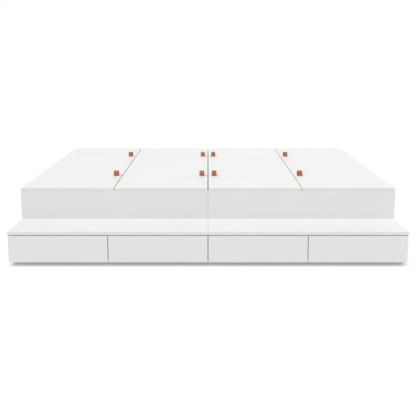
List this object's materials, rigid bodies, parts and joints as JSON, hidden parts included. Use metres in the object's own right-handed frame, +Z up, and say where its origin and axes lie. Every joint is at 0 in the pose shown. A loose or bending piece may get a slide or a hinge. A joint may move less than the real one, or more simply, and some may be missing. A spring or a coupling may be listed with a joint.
{
  "type": "storage platform bed",
  "caption": "Low white platform bed in two mirrored modules, with lift-up lids pulled by leather loops over storage bays, and a front step with four handle-less drawers.",
  "frame": {"origin": "on the floor, under the middle of the object's box", "axes": "+X along the bed's width to the right seen from the step, +Y from the step to the back, +Z up"},
  "size_m": [2.8094, 2.36, 0.5275],
  "materials": {
    "white_board": "satin white lacquer on board",
    "drawer_box_board": "matt white lining board",
    "leather_pull": "smooth vegetable-tanned leather, cut edges",
    "hinge_steel": "black-nickel-plated, satin",
    "slide_steel": "zinc-plated"
  },
  "bodies": {
    "carcass": {"hinge_frame_leaf_left_inner": "hinge_steel", "hinge_frame_leaf_left_outer": "hinge_steel", "hinge_frame_leaf_right_inner": "hinge_steel", "hinge_frame_leaf_right_outer": "hinge_steel", "platform_back_left": "white_board", "platform_back_right": "white_board", "platform_divider_left": "white_board", "platform_divider_right": "white_board", "platform_floor_left": "white_board", "platform_floor_right": "white_board", "platform_front_left": "white_board", "platform_front_right": "white_board", "platform_inner_side_left": "white_board", "platform_inner_side_right": "white_board", "platform_outer_side_left": "white_board", "platform_outer_side_right": "white_board", "slide_fixed_member_left_inner": "slide_steel", "slide_fixed_member_left_outer": "slide_steel", "slide_fixed_member_right_inner": "slide_steel", "slide_fixed_member_right_outer": "slide_steel", "step_bottom_left": "white_board", "step_bottom_right": "white_board", "step_divider_left": "white_board", "step_divider_right": "white_board", "step_inner_side_left": "white_board", "step_inner_side_right": "white_board", "step_outer_side_left": "white_board", "step_outer_side_right": "white_board", "step_plinth_left": "white_board", "step_plinth_right": "white_board", "step_tread_left": "white_board", "step_tread_right": "white_board"},
    "left_outer_lid_group": {"lid_left_outer": "white_board", "hinge_lid_leaf_left_outer": "hinge_steel", "pull_left_outer_front": "leather_pull", "pull_left_outer_back": "leather_pull"},
    "left_outer_drawer_group": {"drawer_front_left_outer": "white_board", "drawer_box_left_outer": "drawer_box_board", "slide_drawer_member_left_outer": "slide_steel"},
    "left_inner_lid_group": {"lid_left_inner": "white_board", "hinge_lid_leaf_left_inner": "hinge_steel", "pull_left_inner_front": "leather_pull", "pull_left_inner_back": "leather_pull"},
    "left_inner_drawer_group": {"drawer_front_left_inner": "white_board", "drawer_box_left_inner": "drawer_box_board", "slide_drawer_member_left_inner": "slide_steel"},
    "right_outer_lid_group": {"lid_right_outer": "white_board", "hinge_lid_leaf_right_outer": "hinge_steel", "pull_right_outer_front": "leather_pull", "pull_right_outer_back": "leather_pull"},
    "right_outer_drawer_group": {"drawer_front_right_outer": "white_board", "drawer_box_right_outer": "drawer_box_board", "slide_drawer_member_right_outer": "slide_steel"},
    "right_inner_lid_group": {"lid_right_inner": "white_board", "hinge_lid_leaf_right_inner": "hinge_steel", "pull_right_inner_front": "leather_pull", "pull_right_inner_back": "leather_pull"},
    "right_inner_drawer_group": {"drawer_front_right_inner": "white_board", "drawer_box_right_inner": "drawer_box_board", "slide_drawer_member_right_inner": "slide_steel"}
  },
  "joints": [
    {"name": "left_outer_lid_hinge", "type": "hinge", "parent": "carcass", "child": "left_outer_lid_group", "pos_m": [-1.4025, 0.18, 0.46455], "axis": [0, -1, 0], "range_deg": [0, 95]},
    {"name": "left_outer_drawer_slide", "type": "slide", "parent": "carcass", "child": "left_outer_drawer_group", "axis": [0, -1, 0], "range_m": [0, 0.22]},
    {"name": "left_inner_lid_hinge", "type": "hinge", "parent": "carcass", "child": "left_inner_lid_group", "pos_m": [-0.7025, 0.18, 0.4828], "axis": [0, -1, 0], "range_deg": [0, 92]},
    {"name": "left_inner_drawer_slide", "type": "slide", "parent": "carcass", "child": "left_inner_drawer_group", "axis": [0, -1, 0], "range_m": [0, 0.22]},
    {"name": "right_outer_lid_hinge", "type": "hinge", "parent": "carcass", "child": "right_outer_lid_group", "pos_m": [1.4025, 0.18, 0.46455], "axis": [0, 1, 0], "range_deg": [0, 95]},
    {"name": "right_outer_drawer_slide", "type": "slide", "parent": "carcass", "child": "right_outer_drawer_group", "axis": [0, -1, 0], "range_m": [0, 0.22]},
    {"name": "right_inner_lid_hinge", "type": "hinge", "parent": "carcass", "child": "right_inner_lid_group", "pos_m": [0.7025, 0.18, 0.4828], "axis": [0, 1, 0], "range_deg": [0, 92]},
    {"name": "right_inner_drawer_slide", "type": "slide", "parent": "carcass", "child": "right_inner_drawer_group", "axis": [0, -1, 0], "range_m": [0, 0.22]}
  ]
}
